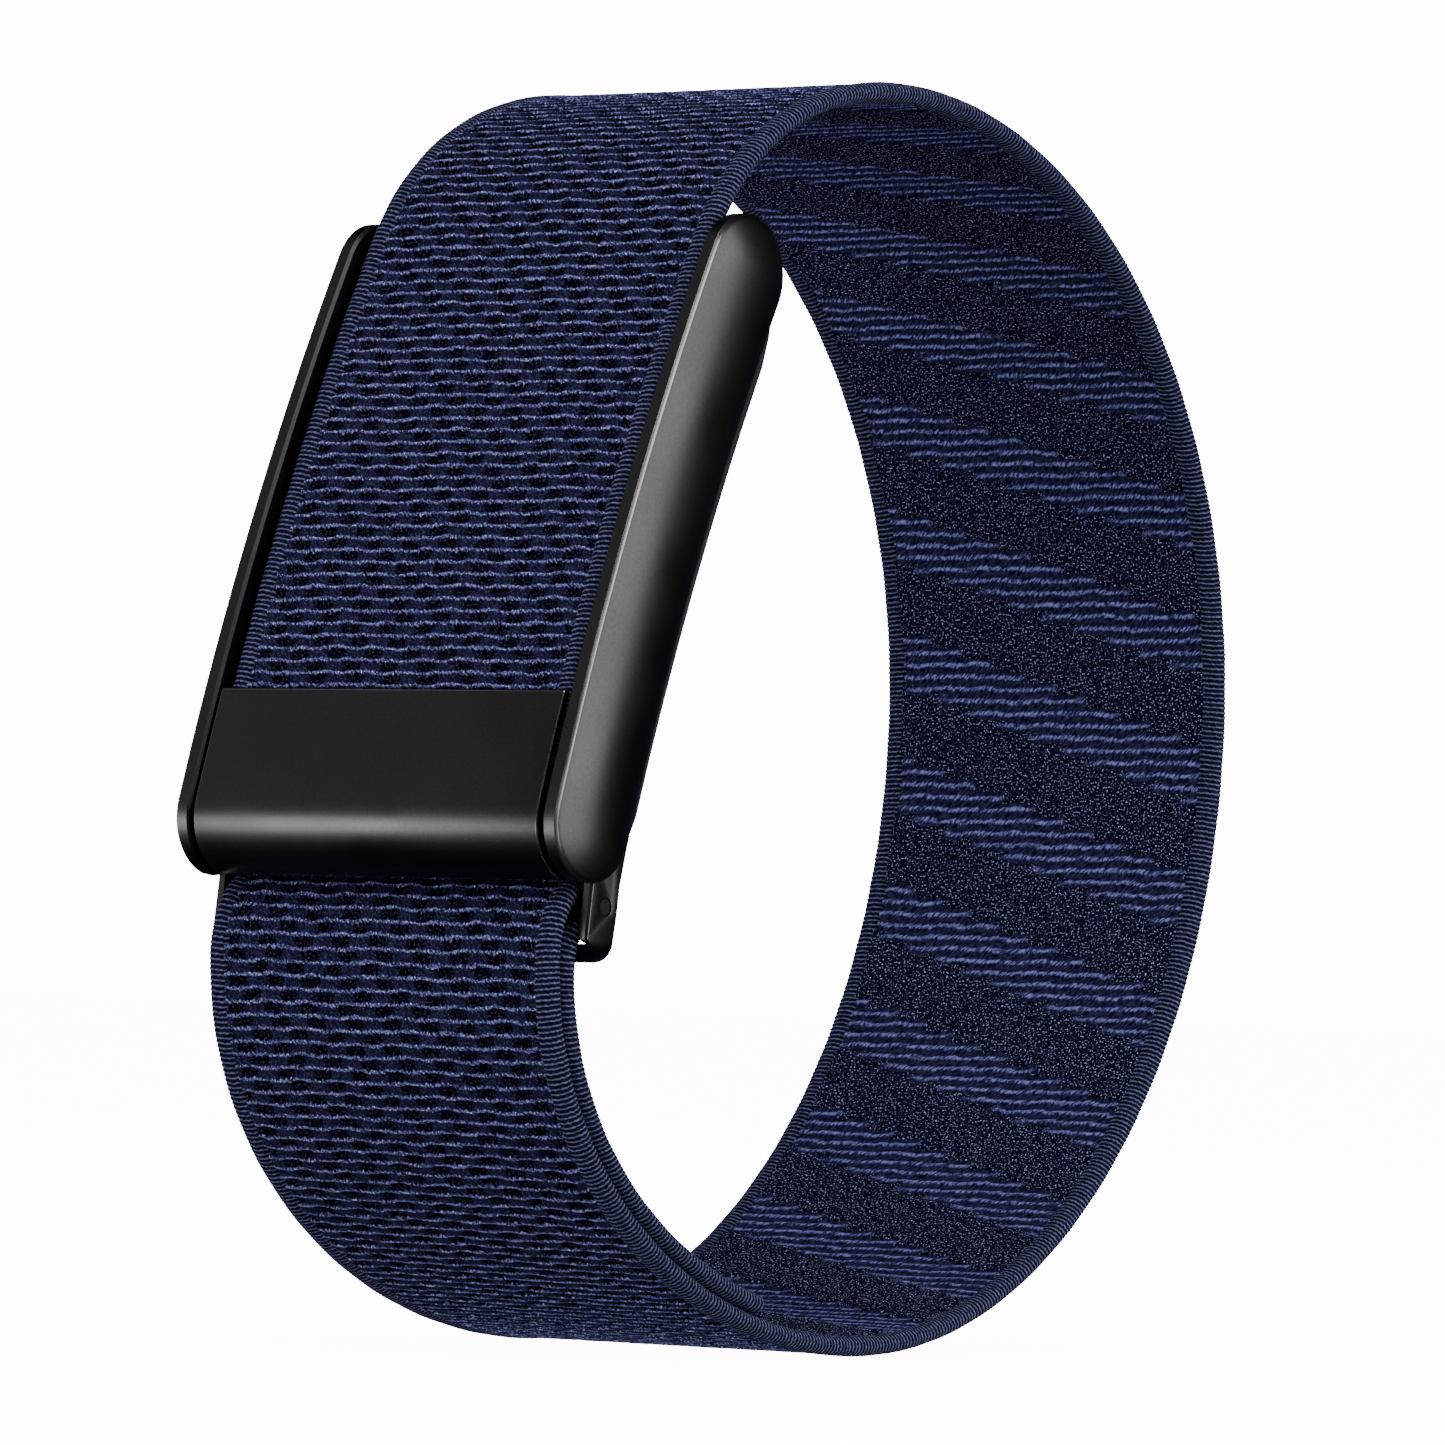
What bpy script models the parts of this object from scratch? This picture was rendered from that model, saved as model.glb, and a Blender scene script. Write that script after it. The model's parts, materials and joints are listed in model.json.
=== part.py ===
"""Fitness tracker band: a sensor pod carried by a buckle frame on a woven strap, with a hook on the strap's end.

X runs along the wrist, -Y is the front of the pod and +Z is up. The loop is drawn about its own middle,
in a plane across the wrist, and then stands on the ground plane. The pod's pieces are drawn straight, in
(x, s, n): across, along the pod towards its top, and out from the wrist. They are then laid on the pod's arc.
"""

import math

import bmesh
import bpy
from mathutils import Matrix, Vector

MM = 0.001

# The strap's loop, on the middle of its thickness, as (y, z) about the loop's own middle.
CROWN_Y = -1.0 * MM
CROWN_Z = 31.1 * MM
BACK_Y = 27.3 * MM
BACK_Z = 1.5 * MM
FOOT_Y = -2.0 * MM
FOOT_Z = -30.7 * MM
STRAP_WIDTH = 21.4 * MM
STRAP_THICKNESS = 0.9 * MM
LAYER_GAP = 0.25 * MM  # between the strap and its own tail
TAIL_REACH = 71.0  # degrees that the tail goes round the loop's lower front quarter

# The pod.
POD_LENGTH = 34.7 * MM
POD_HALF_DEPTH = 2.9 * MM  # of the side caps
POD_CENTRE_Y = -21.4 * MM
POD_CENTRE_Z = 8.0 * MM
POD_LEAN = 22.0  # degrees from upright
POD_ARC_RADIUS = 165.0 * MM
BULGE_DEPTH = 4.8 * MM  # of the skin side, past the side caps
BULGE_INSET = 4.4 * MM
BULGE_ROUNDING = 1.5  # the lower, the sooner the skin side draws in behind the side caps
BULGE_END_SHARE = 0.94  # of the sides' drawing in, at the two ends
WALL = 0.9 * MM
END_WALL = 1.9 * MM
CAP_FLANGE = 0.9 * MM
CAP_DOME = 0.65 * MM
CAP_CHAMFER = 0.15 * MM
COVER_THICKNESS = 0.55 * MM  # at its thinnest, under the hook
GASKET_THICKNESS = 0.3 * MM
GASKET_WIDTH = 0.5 * MM
FIT = 0.1 * MM  # between pieces that are fixed to each other
CLEARANCE = 0.3 * MM  # between pieces that move or only lie together

# The hook on the strap's end.
STRAP_SINK = 0.57 * MM  # of the strap's face below the side caps' rims
HOOK_LENGTH = 8.6 * MM
HOOK_LIP_THICKNESS = 0.75 * MM
HOOK_SKIN = 0.42 * MM
HOOK_JAW = 0.42 * MM
HOOK_GRIP = 3.5 * MM  # how far the strap goes into the hook
END_BAR_RADIUS = 0.42 * MM

# The buckle frame at the pod's foot, from the pivot in the pod to the bar that the strap is looped over.
PIVOT_BACK = 1.6 * MM  # from the middle of the pod's round foot
PIVOT_DROP = 0.7 * MM
PIN_RADIUS = 0.5 * MM
PIN_PLAY = 0.06 * MM
PIN_SEAT = 0.75 * MM
STRAP_BAR_BACK = 1.3 * MM  # from the middle of the pod's round foot
STRAP_BAR_RADIUS = 0.4 * MM
BAR_GAP = 0.15 * MM
FOLD_RISE = 0.4 * MM  # of the strap's fold above the lowest point of the pod's foot
FRAME_ARM_THICKNESS = 0.6 * MM
FRAME_ARM_FRONT_REACH = 1.4 * MM
FRAME_ARM_BACK_REACH = 1.6 * MM
FRAME_ARM_RISE = 1.05 * MM
FRAME_FOOT_DROP = 2.7 * MM
FRAME_FOOT_HEIGHT = 0.9 * MM
FRAME_FOOT_WIDTH = 1.05 * MM
FRAME_CORNER = 1.1 * MM

# What the pod holds.
WINDOW_WIDTH = 10.0 * MM
WINDOW_LENGTH = 14.0 * MM
WINDOW_THICKNESS = 0.8 * MM
BEZEL_WIDTH = 0.8 * MM
BATTERY_WIDTH = 14.0 * MM
BATTERY_LENGTH = 17.0 * MM
BATTERY_THICKNESS = 2.3 * MM
BOARD_WIDTH = 17.0 * MM
BOARD_LENGTH = 22.0 * MM
BOARD_THICKNESS = 0.5 * MM
OPTICAL_WIDTH = 10.5 * MM
OPTICAL_LENGTH = 13.0 * MM
OPTICAL_THICKNESS = 0.4 * MM
COIL_RADIUS = 7.0 * MM
COIL_BAND = 1.6 * MM
COIL_THICKNESS = 0.3 * MM
MOTOR_RADIUS = 2.0 * MM
MOTOR_THICKNESS = 1.6 * MM
CHIP_THICKNESS = 0.6 * MM
EMITTER_THICKNESS = 0.35 * MM
TEMPERATURE_RADIUS = 1.0 * MM
BOARD_S = 1.0 * MM
BATTERY_S = -1.0 * MM

BEND_STEP = 3.0 * MM  # longest straight run along the pod's arc
SIDES = (("left", -1), ("right", 1))

# What follows from the sizes above: first across the wrist, then out from it.
HALF_STRAP = STRAP_WIDTH / 2
CORE_HALF_WIDTH = HALF_STRAP + FIT
CAP_INNER = CORE_HALF_WIDTH + FIT
CAP_RIM = CAP_INNER + CAP_FLANGE
FRAME_INNER = CAP_INNER + FIT
FRAME_OUTER = FRAME_INNER + FRAME_ARM_THICKNESS
STRAP_LEVEL = POD_HALF_DEPTH - STRAP_SINK - STRAP_THICKNESS / 2
CORE_FACE = STRAP_LEVEL - STRAP_THICKNESS / 2 - CLEARANCE
JAW_FACE = STRAP_LEVEL - STRAP_THICKNESS / 2 - FIT - HOOK_JAW
CORE_FOOT_FACE = JAW_FACE - CLEARANCE
CORE_FOOT_RADIUS = POD_HALF_DEPTH - HOOK_LIP_THICKNESS - CLEARANCE - 0.05 * MM
CORE_FOOT_CREST = 1.3 * CORE_FOOT_FACE  # the foot's end slopes back, to turn clear of the hook's jaw
COVER_SEAT = CORE_FOOT_FACE - COVER_THICKNESS - GASKET_THICKNESS - FIT
SKIN_FACE = -POD_HALF_DEPTH - BULGE_DEPTH
BATTERY_N = SKIN_FACE + WINDOW_THICKNESS + EMITTER_THICKNESS + OPTICAL_THICKNESS + 6 * FIT

# Along the pod.
CAP_END = POD_LENGTH / 2 - POD_HALF_DEPTH
HOOK_TOP = HOOK_LENGTH - POD_LENGTH / 2
STRAP_EXIT = CAP_END + 1.2 * MM
TEMPERATURE_S = WINDOW_LENGTH / 2 + BEZEL_WIDTH + 2.0 * MM
CHIP_S = BOARD_S + BOARD_LENGTH / 2 - 2.4 * MM
MOTOR_S = BATTERY_S + BATTERY_LENGTH / 2 + MOTOR_RADIUS + 1.1 * MM
ANTENNA_S = BOARD_S - BOARD_LENGTH / 2 - 1.0 * MM


def pod_point(s, n):
    """The (y, z) of a point s along the pod's arc and n out from its middle."""
    lean = math.radians(POD_LEAN)
    turn = lean + s / POD_ARC_RADIUS
    reach = POD_ARC_RADIUS + n
    y = POD_CENTRE_Y + POD_ARC_RADIUS * math.cos(lean) - reach * math.cos(turn)
    z = POD_CENTRE_Z - POD_ARC_RADIUS * math.sin(lean) + reach * math.sin(turn)
    return y, z


# Round the pod's foot: the frame's pivot and bar, the strap's fold and where the loop takes over from it.
POD_FOOT_Y, POD_FOOT_Z = pod_point(-CAP_END, 0.0)
PIVOT_Y = POD_FOOT_Y + PIVOT_BACK
PIVOT_Z = POD_FOOT_Z - PIVOT_DROP
STRAP_WRAP = STRAP_BAR_RADIUS + BAR_GAP + STRAP_THICKNESS / 2
STRAP_BAR_Y = POD_FOOT_Y + STRAP_BAR_BACK
STRAP_BAR_Z = POD_FOOT_Z - POD_HALF_DEPTH + FOLD_RISE - STRAP_THICKNESS / 2 - STRAP_WRAP
LOW_FRONT_Y = STRAP_BAR_Y - STRAP_WRAP - STRAP_THICKNESS - LAYER_GAP - 0.25 * MM
LOW_FRONT_Z = STRAP_BAR_Z - 2.7 * STRAP_WRAP
TAIL_Y = LOW_FRONT_Y + STRAP_THICKNESS + LAYER_GAP
FRAME_TOP_Z = PIVOT_Z + FRAME_ARM_RISE
FRAME_ARM_FRONT = PIVOT_Y - FRAME_ARM_FRONT_REACH
FRAME_ARM_BACK = PIVOT_Y + FRAME_ARM_BACK_REACH
FRAME_FOOT_Z = STRAP_BAR_Z - STRAP_WRAP - STRAP_THICKNESS / 2 - CLEARANCE - FRAME_FOOT_HEIGHT
FRAME_FOOT_FRONT = STRAP_BAR_Y - 0.3 * MM
FRAME_FOOT_BACK = FRAME_FOOT_FRONT + FRAME_FOOT_WIDTH
GROUND_Z = STRAP_THICKNESS / 2 - FOOT_Z


def pod_flat(s, n):
    """The same for a stiff flat piece, which lies on the arc's tangent at the pod's middle."""
    lean = math.radians(POD_LEAN)
    y = POD_CENTRE_Y + s * math.sin(lean) - n * math.cos(lean)
    z = POD_CENTRE_Z + s * math.cos(lean) + n * math.sin(lean)
    return y, z


def front_y():
    """The foremost y of the side caps' rims."""
    steps = [CAP_END * k / 40 for k in range(-40, 41)]
    foremost = min(pod_point(s, POD_HALF_DEPTH)[0] for s in steps)
    return min(foremost, POD_FOOT_Y - POD_HALF_DEPTH)


MIDDLE_Y = (front_y() + BACK_Y + STRAP_THICKNESS / 2) / 2


# ---------------------------------------------------------------- meshes

def material(name, colour, roughness, metallic=0.0, alpha=1.0):
    made = bpy.data.materials.get(name)
    if made is None:
        made = bpy.data.materials.new(name)
        made.use_nodes = True
        shader = made.node_tree.nodes["Principled BSDF"]
        shader.inputs["Base Color"].default_value = (*colour, 1.0)
        shader.inputs["Roughness"].default_value = roughness
        shader.inputs["Metallic"].default_value = metallic
        shader.inputs["Alpha"].default_value = alpha
    return made


def bend(mesh, lay):
    """Lays a mesh drawn straight, in (x, s, n), on the pod's arc: cut across into short steps, then moved."""
    work = bmesh.new()
    work.from_mesh(mesh)
    reach = max(abs(v.co.y) for v in work.verts)
    cuts = math.ceil(reach / BEND_STEP)
    for k in range(-cuts, cuts + 1):
        everything = work.verts[:] + work.edges[:] + work.faces[:]
        bmesh.ops.bisect_plane(work, geom=everything, dist=0.001 * MM,
                               plane_co=(0.0, k * BEND_STEP, 0.0), plane_no=(0.0, 1.0, 0.0))
    for vertex in work.verts:
        x, s, n = vertex.co
        vertex.co = (x, *lay(s, n))
    work.to_mesh(mesh)
    work.free()


def add_object(name, points, faces, finish, parent=None, lay=None):
    """A closed mesh as an object, its points given about the loop's middle and kept about the parent's place."""
    mesh = bpy.data.meshes.new(name)
    mesh.from_pydata(points, [], faces)
    if lay:
        bend(mesh, lay)
    home = parent.location if parent else Vector()
    mesh.transform(Matrix.Translation(Vector((0.0, -MIDDLE_Y, GROUND_Z)) - home))
    work = bmesh.new()
    work.from_mesh(mesh)
    bmesh.ops.recalc_face_normals(work, faces=work.faces)
    work.to_mesh(mesh)
    work.free()
    mesh.shade_smooth()
    mesh.set_sharp_from_angle(angle=math.radians(35))
    mesh.materials.append(finish)
    made = bpy.data.objects.new(name, mesh)
    bpy.context.collection.objects.link(made)
    if parent:
        made.parent = parent
    return made


def loft(name, rings, finish, parent=None, lay=None, closed=False):
    """Rings of equally many points, joined in order; the ends are capped unless the rings close on themselves."""
    count = len(rings[0])
    points = [p for ring in rings for p in ring]
    faces = []
    last = len(rings) if closed else len(rings) - 1
    for i in range(last):
        here = i * count
        there = ((i + 1) % len(rings)) * count
        for k in range(count):
            after = (k + 1) % count
            faces.append((here + k, here + after, there + after, there + k))
    if not closed:
        faces.append(tuple(range(count)))
        faces.append(tuple(range((len(rings) - 1) * count, len(rings) * count)))
    return add_object(name, points, faces, finish, parent, lay)


def prism(name, outline, x_low, x_high, finish, parent=None, lay=pod_point):
    """An (s, n) outline carried across from x_low to x_high."""
    rings = [[(x, s, n) for s, n in outline] for x in (x_low, x_high)]
    return loft(name, rings, finish, parent, lay)


def level_block(name, outlines, finish, parent=None, lay=pod_point, closed=False):
    """Stacked (x, s) outlines, each at its own n."""
    rings = [[(x, s, n) for x, s in outline] for n, outline in outlines]
    return loft(name, rings, finish, parent, lay, closed)


def arc(centre, radii, start, end, steps):
    """Points round an ellipse, angles in degrees."""
    result = []
    for k in range(steps + 1):
        angle = math.radians(start + (end - start) * k / steps)
        result.append((centre[0] + radii[0] * math.cos(angle), centre[1] + radii[1] * math.sin(angle)))
    return result


def rounded(half_x, s_low, s_high, radius, steps=3):
    """A rectangle in (x, s) with round corners."""
    corners = (
        ((half_x - radius, s_high - radius), 0),
        ((radius - half_x, s_high - radius), 90),
        ((radius - half_x, s_low + radius), 180),
        ((half_x - radius, s_low + radius), 270),
    )
    outline = []
    for centre, start in corners:
        outline += arc(centre, (radius, radius), start, start + 90, steps)
    return outline


def tile(name, centre, size, n_low, n_high, finish, parent, radius=0.3 * MM, lay=pod_point):
    """A thin block with round corners, such as a chip or a board."""
    half_x = size[0] / 2
    outline = [(centre[0] + x, s) for x, s in
               rounded(half_x, centre[1] - size[1] / 2, centre[1] + size[1] / 2, radius)]
    return level_block(name, [(n_low, outline), (n_high, outline)], finish, parent, lay)


def disc(name, centre, radius, n_low, n_high, finish, parent, sides=24, lay=pod_point):
    outline = arc(centre, (radius, radius), 0, 360, sides)[:-1]
    return level_block(name, [(n_low, outline), (n_high, outline)], finish, parent, lay)


def rod(name, y, z, radius, x_low, x_high, finish, parent=None, sides=16):
    """A round rod along x."""
    side = arc((y, z), (radius, radius), 0, 360, sides)[:-1]
    rings = [[(x, py, pz) for py, pz in side] for x in (x_low, x_high)]
    return loft(name, rings, finish, parent)


def cut(target, cutter, solver="EXACT"):
    """The cutter's shape taken out of the target. At some sizes EXACT drops a face of a curved rim."""
    cutter.hide_render = True
    cutter.display_type = "WIRE"
    modifier = target.modifiers.new(f"cut by {cutter.name}", "BOOLEAN")
    modifier.operation = "DIFFERENCE"
    modifier.solver = solver
    modifier.object = cutter


# ---------------------------------------------------------------- the strap

def normals(path):
    """Unit normals of an open (y, z) path, to its left."""
    result = []
    for k in range(len(path)):
        a = Vector(path[max(k - 1, 0)])
        b = Vector(path[min(k + 1, len(path) - 1)])
        along = (b - a).normalized()
        result.append(Vector((-along.y, along.x)))
    return result


def ribbon(name, path, parent=None):
    """The strap along a (y, z) path: a flat band with rounded edges."""
    half = STRAP_THICKNESS / 2
    edge = half * 0.8
    section = [(HALF_STRAP - edge, half), (HALF_STRAP, 0.0), (HALF_STRAP - edge, -half)]
    section += [(-x, h) for x, h in reversed(section)]
    rings = []
    for (y, z), normal in zip(path, normals(path)):
        rings.append([(x, y + normal.x * h, z + normal.y * h) for x, h in section])
    return loft(name, rings, WEAVE, parent)


def crown_path():
    """From the pod's top, over the crown, to the back of the loop: a Hermite curve and a quarter ellipse."""
    start = Vector(pod_point(STRAP_EXIT, STRAP_LEVEL))
    near = Vector(pod_point(STRAP_EXIT - 0.1 * MM, STRAP_LEVEL))
    end = Vector((CROWN_Y, CROWN_Z))
    span = (end - start).length
    leave = (start - near).normalized() * span * 0.95
    arrive = Vector((1.0, 0.0)) * span * 1.25
    steps = 16
    path = []
    for k in range(steps):
        t = k / steps
        point = start * (2 * t**3 - 3 * t**2 + 1) + leave * (t**3 - 2 * t**2 + t)
        point += end * (3 * t**2 - 2 * t**3) + arrive * (t**3 - t**2)
        path.append(tuple(point))
    return path + arc((CROWN_Y, BACK_Z), (BACK_Y - CROWN_Y, CROWN_Z - BACK_Z), 90, 0, 18)


def foot_path():
    """From the back of the loop, under the foot, to the lower front."""
    under = arc((FOOT_Y, BACK_Z), (BACK_Y - FOOT_Y, BACK_Z - FOOT_Z), 0, -90, 20)
    front = arc((FOOT_Y, LOW_FRONT_Z), (FOOT_Y - LOW_FRONT_Y, LOW_FRONT_Z - FOOT_Z), -90, -180, 18)
    return under[1:] + front[1:]


def strap_ring():
    return ribbon("strap_ring", crown_path() + foot_path())


def strap_fold():
    """Up into the frame, over the bar and back under it, to where the tail starts."""
    top = STRAP_BAR_Z + STRAP_WRAP
    up = arc((STRAP_BAR_Y, LOW_FRONT_Z), (STRAP_BAR_Y - LOW_FRONT_Y, top - LOW_FRONT_Z), 180, 90, 9)
    round_bar = arc((STRAP_BAR_Y, STRAP_BAR_Z), (STRAP_WRAP, STRAP_WRAP), 90, -90, 10)
    down = arc((STRAP_BAR_Y, LOW_FRONT_Z), (STRAP_BAR_Y - TAIL_Y, STRAP_BAR_Z - STRAP_WRAP - LOW_FRONT_Z),
               90, 180, 6)
    path = up + round_bar[1:] + down[1:]
    path[0] = (path[0][0], path[0][1] + FIT)
    return ribbon("strap_fold", path)


def strap_tail(parent):
    """The free end of the strap, inside the loop's lower front quarter."""
    step = STRAP_THICKNESS + LAYER_GAP
    radii = (FOOT_Y - LOW_FRONT_Y - step, LOW_FRONT_Z - FOOT_Z - step)
    path = arc((FOOT_Y, LOW_FRONT_Z - FIT), radii, 180, 180 + TAIL_REACH, 14)
    return ribbon("strap_tail", path, parent)


def pod_stretch(name, low, high, steps, parent):
    """The strap along the pod's face, between two places on the pod's arc."""
    path = [pod_point(low + (high - low) * k / steps, STRAP_LEVEL) for k in range(steps + 1)]
    return ribbon(name, path, parent)


def face_strap(parent):
    """The stretch on the pod's face, from the hook to the pod's top."""
    return pod_stretch("face_strap", HOOK_TOP + FIT, STRAP_EXIT - FIT, 12, parent)


def strap_hem(parent):
    """The strap's end, held in the hook."""
    return pod_stretch("strap_hem", HOOK_TOP - HOOK_GRIP, HOOK_TOP - FIT, 2, parent)


# ---------------------------------------------------------------- the hook

def hook_outline():
    """The hook in (s, n): a skin over the strap's end, a jaw under it, and a lip round the pod's foot."""
    outer = POD_HALF_DEPTH
    inner = outer - HOOK_LIP_THICKNESS
    slot_low = JAW_FACE + HOOK_JAW
    slot_high = outer - HOOK_SKIN
    grip = HOOK_TOP - HOOK_GRIP - FIT
    groove = 2 * END_BAR_RADIUS + 3 * FIT
    jaw = JAW_FACE
    lip = arc((-CAP_END, 0.0), (outer, outer), 90, 180, 10)
    inside = arc((-CAP_END, 0.0), (inner, inner), 180, 180 - math.degrees(math.asin(jaw / inner)), 6)
    outline = [(HOOK_TOP, slot_high), (HOOK_TOP - 0.12 * MM, outer)]
    outline += lip
    outline += inside
    outline += [(HOOK_TOP, jaw), (HOOK_TOP, slot_low)]
    outline += [(grip, slot_low), (grip - groove, slot_low), (grip - groove, slot_high), (grip, slot_high)]
    return outline


def hook_plate(parent):
    return prism("hook_plate", hook_outline(), FIT - HALF_STRAP, HALF_STRAP - FIT, BLACK_METAL, parent)


def strap_end_bar(parent):
    """The rod that the strap's end is hemmed round, which can't pull out of the hook's groove."""
    s = HOOK_TOP - HOOK_GRIP - FIT - END_BAR_RADIUS - 1.5 * FIT
    n = (STRAP_LEVEL - STRAP_THICKNESS / 2 - FIT + POD_HALF_DEPTH - HOOK_SKIN) / 2
    y, z = pod_point(s, n)
    return rod("strap_end_bar", y, z, END_BAR_RADIUS, 0.6 * MM - HALF_STRAP, HALF_STRAP - 0.6 * MM,
               STEEL, parent)


# ---------------------------------------------------------------- the buckle frame

def frame_stations():
    """Down one arm and half way along the foot: outer (x, z), inner (x, z), and the front and back y there."""
    outer, inner = FRAME_OUTER, FRAME_INNER
    arm = (
        (FRAME_TOP_Z, FRAME_ARM_BACK - 0.9 * MM, FRAME_ARM_BACK - 0.25 * MM),
        (FRAME_TOP_Z - 0.3 * MM, FRAME_ARM_BACK - 1.6 * MM, FRAME_ARM_BACK),
        (PIVOT_Z - PIN_RADIUS, FRAME_ARM_FRONT + 0.2 * MM, FRAME_ARM_BACK - 0.3 * MM),
        (STRAP_BAR_Z + 1.0 * MM, FRAME_ARM_FRONT, FRAME_ARM_BACK - 0.75 * MM),
        (STRAP_BAR_Z - 0.5 * MM, FRAME_ARM_FRONT - 0.2 * MM, FRAME_ARM_BACK - 0.95 * MM),
        (FRAME_FOOT_Z + FRAME_CORNER, FRAME_ARM_FRONT - 0.35 * MM, FRAME_FOOT_BACK),
    )
    stations = [((outer, z), (inner, z), front, back) for z, front, back in arm]
    centre = (outer - FRAME_CORNER, FRAME_FOOT_Z + FRAME_CORNER)
    small = FRAME_CORNER - FRAME_ARM_THICKNESS
    rise = FRAME_CORNER - FRAME_FOOT_HEIGHT
    front = arm[-1][1]
    for k, (out, into) in enumerate(zip(arc(centre, (FRAME_CORNER, FRAME_CORNER), 0, -90, 5),
                                        arc(centre, (small, rise), 0, -90, 5))):
        if k:
            narrow = front + (FRAME_FOOT_FRONT - front) * min(1.0, k / 3)
            stations.append((out, into, narrow, FRAME_FOOT_BACK))
    return stations


def loop_frame():
    """Two arms joined by a foot: one casting, with holes for the pivot pins and the strap bar."""
    half = frame_stations()
    mirrored = [((-out[0], out[1]), (-into[0], into[1]), front, back) for out, into, front, back in half]
    bevel = 0.12 * MM
    rings = []
    for (out_x, out_z), (in_x, in_z), front, back in half + mirrored[::-1]:
        ring = []
        for share, y in ((0.0, front + bevel), (0.2, front), (0.8, front), (1.0, front + bevel),
                         (1.0, back - bevel), (0.8, back), (0.2, back), (0.0, back - bevel)):
            ring.append((out_x + (in_x - out_x) * share, y, out_z + (in_z - out_z) * share))
        rings.append(ring)
    frame = loft("loop_frame", rings, BLACK_METAL)
    for side_name, sign in SIDES:
        low, high = sorted((sign * (FRAME_INNER - FIT), sign * (FRAME_OUTER + FIT)))
        for place, y, z, radius in (("pivot", PIVOT_Y, PIVOT_Z, PIN_RADIUS),
                                    ("bar", STRAP_BAR_Y, STRAP_BAR_Z, STRAP_BAR_RADIUS)):
            hole = rod(f"frame_{place}_hole_{side_name}", y, z, radius + PIN_PLAY, low, high, BLACK_METAL)
            cut(frame, hole)
    return frame


def strap_bar():
    reach = FRAME_OUTER - 0.05 * MM
    return rod("strap_bar", STRAP_BAR_Y, STRAP_BAR_Z, STRAP_BAR_RADIUS, -reach, reach, STEEL)


def frame_pin(side_name, sign, parent):
    """A pin fixed in the pod's shell, on which the frame's arm turns."""
    low, high = sorted((sign * (CORE_HALF_WIDTH - PIN_SEAT + FIT), sign * (FRAME_OUTER - 0.05 * MM)))
    return rod(f"frame_pin_{side_name}", PIVOT_Y, PIVOT_Z, PIN_RADIUS, low, high, STEEL, parent)


# ---------------------------------------------------------------- the pod's case

def core_ends(n):
    """The lowest and highest s of the pod's core at a level n."""
    share = n / POD_HALF_DEPTH
    foot_share = n / CORE_FOOT_CREST if n > 0 else share
    low = -CAP_END - CORE_FOOT_RADIUS * math.sqrt(1 - min(1.0, foot_share**2))
    return low, CAP_END + (POD_HALF_DEPTH - FIT) * math.sqrt(1 - share**2)


def bulge_outline(n, inset):
    """The core's (x, s) outline at a level n, from its waist to the face on the skin."""
    waist = -POD_HALF_DEPTH * 0.75
    low, high = core_ends(max(n, waist))
    depth = max(0.0, (waist - n) / (waist - SKIN_FACE))
    shrink = BULGE_INSET * (1 - math.sqrt(max(0.0, 1 - depth**BULGE_ROUNDING)))
    ends = shrink * BULGE_END_SHARE
    half = CORE_HALF_WIDTH - shrink - inset
    radius = 0.8 * MM + shrink * 0.8
    return rounded(half, low + ends + inset, high - ends - inset, radius, 5)


def pod_back_shell(parent):
    """The tray on the skin side, with a hollow for the works, a window opening and two pin holes."""
    waist = -POD_HALF_DEPTH * 0.75
    levels = [COVER_SEAT + (waist - COVER_SEAT) * k / 4 for k in range(4)]
    levels += [waist + (SKIN_FACE - waist) * math.sin(math.radians(90 * k / 8)) for k in range(9)]
    shell = level_block("pod_back_shell", [(n, bulge_outline(n, 0.0)) for n in levels], CASE_PLASTIC, parent)
    floor = SKIN_FACE + WALL + 0.1 * MM
    deep = [COVER_SEAT + 1.0 * MM, waist]
    deep += [waist + (floor - waist) * k / 4 for k in range(1, 5)]
    hollow = []
    for n in deep:
        outline = bulge_outline(max(n, SKIN_FACE + 1.2 * MM), WALL)
        hollow.append((n, [(x, s * (1 - 2 * END_WALL / POD_LENGTH)) for x, s in outline]))
    cut(shell, level_block("shell_hollow_cutter", hollow, CASE_PLASTIC, parent), "MANIFOLD")
    opening = rounded(WINDOW_WIDTH / 2 + BEZEL_WIDTH + FIT, -WINDOW_LENGTH / 2 - BEZEL_WIDTH - FIT,
                      WINDOW_LENGTH / 2 + BEZEL_WIDTH + FIT, 2.0 * MM)
    cut(shell, level_block("shell_window_cutter",
                           [(SKIN_FACE - 1.0 * MM, opening), (floor + 1.0 * MM, opening)],
                           CASE_PLASTIC, parent, pod_flat), "MANIFOLD")
    hole = disc("shell_temperature_cutter", (0.0, TEMPERATURE_S), TEMPERATURE_RADIUS + FIT,
                SKIN_FACE - 1.0 * MM, floor + 1.0 * MM, CASE_PLASTIC, parent)
    cut(shell, hole, "MANIFOLD")
    for side_name, sign in SIDES:
        low, high = sorted((sign * (CORE_HALF_WIDTH - PIN_SEAT), sign * (CORE_HALF_WIDTH + 1.0 * MM)))
        cut(shell, rod(f"shell_pin_cutter_{side_name}", PIVOT_Y, PIVOT_Z, PIN_RADIUS + PIN_PLAY, low, high,
                       CASE_PLASTIC, parent), "MANIFOLD")
    return shell


def pod_front_cover(parent):
    """The lid of the tray, under the strap, with a step down where the hook's jaw lies."""
    low = COVER_SEAT + GASKET_THICKNESS + FIT
    step = HOOK_TOP + CLEARANCE
    outline = []
    for n in (low, (low + CORE_FOOT_FACE) / 2, CORE_FOOT_FACE):
        outline.append((core_ends(n)[0], n))
    outline += [(step, CORE_FOOT_FACE), (step, CORE_FACE)]
    for k in range(4):
        n = CORE_FACE + (low - CORE_FACE) * k / 3
        outline.append((core_ends(n)[1], n))
    return prism("pod_front_cover", outline, -CORE_HALF_WIDTH, CORE_HALF_WIDTH, CASE_PLASTIC, parent)


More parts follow.
